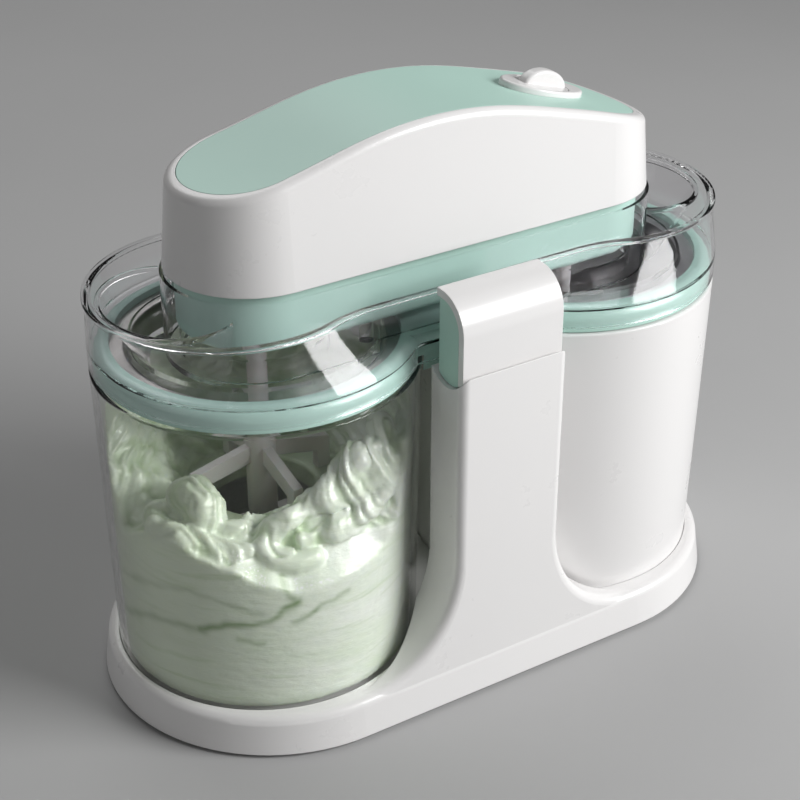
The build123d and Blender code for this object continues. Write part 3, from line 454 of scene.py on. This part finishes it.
for title, values in (("crease_shade", crease_shade), ("streak", streak), ("foam", foam), ("painted_shade", painted_shade)):
    layer = cream_mesh.attributes.new(title, "FLOAT", "POINT")
    layer.data.foreach_set("value", values)
cream_mesh.shade_smooth()
cream = bpy.data.objects.new("churned_ice_cream", cream_mesh)
scene.collection.objects.link(cream)
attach(cream, "base")
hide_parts("ice_cream")

# the third colour here is the green of the churned streaks and also painted shade in the creases
CREAM, PALE, LEAF_AND_CREASE_SHADE = (0.76, 0.85, 0.70), (0.84, 0.89, 0.81), (0.42, 0.56, 0.31)
# the first colour here is painted shade, a moss green for the crater, the left side and the back
SHADE_MOSS, DEEP, FROTH = (0.42, 0.55, 0.30), (0.16, 0.27, 0.09), (0.93, 0.95, 0.94)
TURN_SIZE = 0.06           # radius of the ring on which the angle is laid out, in metres

cm = Tree("pistachio_cream", Subsurface_Weight=0.25, Subsurface_Scale=0.004)
cm.shader.inputs["Coat Weight"].default_value = 0.2
cm.shader.inputs["Coat Roughness"].default_value = 0.25
cm.shader.inputs["Subsurface Radius"].default_value = (1.0, 0.9, 0.6)


def field(name):
    """Reads a value that the sculpt stored on each point."""
    made = cm.node("ShaderNodeAttribute", attribute_name=name)
    return made.outputs["Fac"]


# coordinates that run round the bowl, so that noise can be drawn out along the churned layers
split = cm.node("ShaderNodeSeparateXYZ")
cm.join(cm.place, split.inputs[0])
off_axis = cm.math("SUBTRACT", split.outputs[0], AXIS / MM)
turn = cm.math("ARCTAN2", split.outputs[1], off_axis)
lay = cm.node("ShaderNodeCombineXYZ")
cm.join(cm.math("MULTIPLY", cm.math("COSINE", turn), TURN_SIZE), lay.inputs[0])
cm.join(cm.math("MULTIPLY", cm.math("SINE", turn), TURN_SIZE), lay.inputs[1])
sway = cm.math("MULTIPLY", cm.noise(9.0, detail=2.0), 0.02)
cm.join(cm.math("ADD", split.outputs[2], sway), lay.inputs[2])
drawn_out = cm.stretch((0.12, 0.12, 1.0), lay.outputs[0])
strands = cm.noise(150.0, detail=4.0, roughness=0.6, source=drawn_out, distortion=0.4)
clouds = cm.noise(45.0, detail=3.0, roughness=0.55, source=cm.stretch((0.4, 0.4, 1.0), lay.outputs[0]))

body = cm.mix(cm.span(clouds, 0.0, 1.0, start=0.38, stop=0.62), CREAM, PALE)
green = cm.math("MULTIPLY", cm.span(strands, 0.0, 1.0, start=0.56, stop=0.74), 0.55)
body = cm.mix(green, body, LEAF_AND_CREASE_SHADE)
# painted shade: moss green over the crater, the left side and the back
painted_shade_share = cm.math("MULTIPLY", field("painted_shade"), cm.span(clouds, 0.35, 1.0, start=0.3, stop=0.7))
body = cm.mix(painted_shade_share, body, SHADE_MOSS)
# painted shade: leaf green in the creases between swells
crease_shade_share = cm.math("MULTIPLY", cm.span(field("crease_shade"), 0.0, 1.0, start=0.3, stop=0.9), 0.75)
body = cm.mix(crease_shade_share, body, LEAF_AND_CREASE_SHADE)
streaked = cm.math("MULTIPLY", field("streak"), cm.span(strands, 0.5, 1.0, start=0.3, stop=0.6))
body = cm.mix(streaked, body, DEEP)
flecks = cm.noise(900.0, detail=2.0)
frothy = cm.math("MULTIPLY", field("foam"), cm.span(flecks, 0.0, 1.0, start=0.56, stop=0.62))
body = cm.mix(frothy, body, FROTH)
cm.join(body, cm.shader.inputs["Base Color"])
cm.join(cm.span(cm.noise(60.0), 0.3, 0.5, start=0.3, stop=0.7), cm.shader.inputs["Roughness"])
fine = cm.noise(260.0, detail=4.0, source=cm.stretch((0.5, 0.5, 1.0), lay.outputs[0]))
height_map = cm.math("ADD", fine, cm.math("MULTIPLY", strands, 0.6))
cm.join(cm.bump(height_map, 0.0006), cm.shader.inputs["Normal"])
cream_mesh.materials.clear()
cream_mesh.materials.append(cm.material)

# ---- floor, light and camera ----------------------------------------------------------------
FLOOR_REACH = 6.0
FLOOR_DARK, FLOOR_LIGHT = (0.42, 0.42, 0.42), (0.435, 0.435, 0.435)
SKY_STRENGTH = 0.10

floor_mesh = bpy.data.meshes.new("floor")
shape = bmesh.new()
bmesh.ops.create_grid(shape, x_segments=2, y_segments=2, size=FLOOR_REACH)
shape.to_mesh(floor_mesh)
shape.free()
floor = bpy.data.objects.new("floor", floor_mesh)
scene.collection.objects.link(floor)
fm = Tree("floor_paint", Roughness=0.75)
fm.join(fm.ramp(fm.noise(3.0), (0.3, FLOOR_DARK), (0.7, FLOOR_LIGHT)), fm.shader.inputs["Base Color"])
floor.data.materials.append(fm.material)

world = bpy.data.worlds.new("studio")
scene.world = world
world.use_nodes = True
sky = world.node_tree.nodes["Background"]
sky.inputs[0].default_value = (1.0, 1.0, 1.0, 1.0)
sky.inputs[1].default_value = SKY_STRENGTH


def direction(azimuth, elevation):
    a, e = math.radians(azimuth), math.radians(elevation)
    return Vector((math.sin(a) * math.cos(e), -math.cos(a) * math.cos(e), math.sin(e)))


def lamp(name, azimuth, elevation, distance, size, power, aim=(0.0, 0.0, 0.12), high=None):
    """A soft box in that direction from the object."""
    data = bpy.data.lights.new(name, "AREA")
    data.shape = "RECTANGLE"
    data.size = size
    data.size_y = high or size
    data.energy = power
    made = bpy.data.objects.new(name, data)
    scene.collection.objects.link(made)
    back = direction(azimuth, elevation)
    made.location = Vector(aim) + back * distance
    made.rotation_euler = (-back).to_track_quat("-Z", "Y").to_euler()


lamp("key", 42.0, 29.0, 1.7, 0.9, 33.0)
lamp("top", 170.0, 62.0, 1.7, 1.2, 9.0, aim=(0.05, 0.35, 0.0))
lamp("fill", -85.0, 25.0, 2.0, 1.0, 3.0, high=1.4)

CAMERA_AZIMUTH, CAMERA_ELEVATION = -32.16, 30.04
CAMERA_DISTANCE = 0.9046
CAMERA_AIM = (-0.0091, 0.0, 0.1265)

camera = bpy.data.objects.new("camera", bpy.data.cameras.new("camera"))
scene.collection.objects.link(camera)
back = direction(CAMERA_AZIMUTH, CAMERA_ELEVATION)
camera.location = Vector(CAMERA_AIM) + back * CAMERA_DISTANCE
camera.rotation_euler = (-back).to_track_quat("-Z", "Y").to_euler()
camera.data.sensor_width = 36.0
camera.data.lens = 78.57
camera.data.clip_start, camera.data.clip_end = 0.01, 50.0
scene.camera = camera
scene.view_settings.view_transform = "Standard"
scene.view_settings.look = "None"
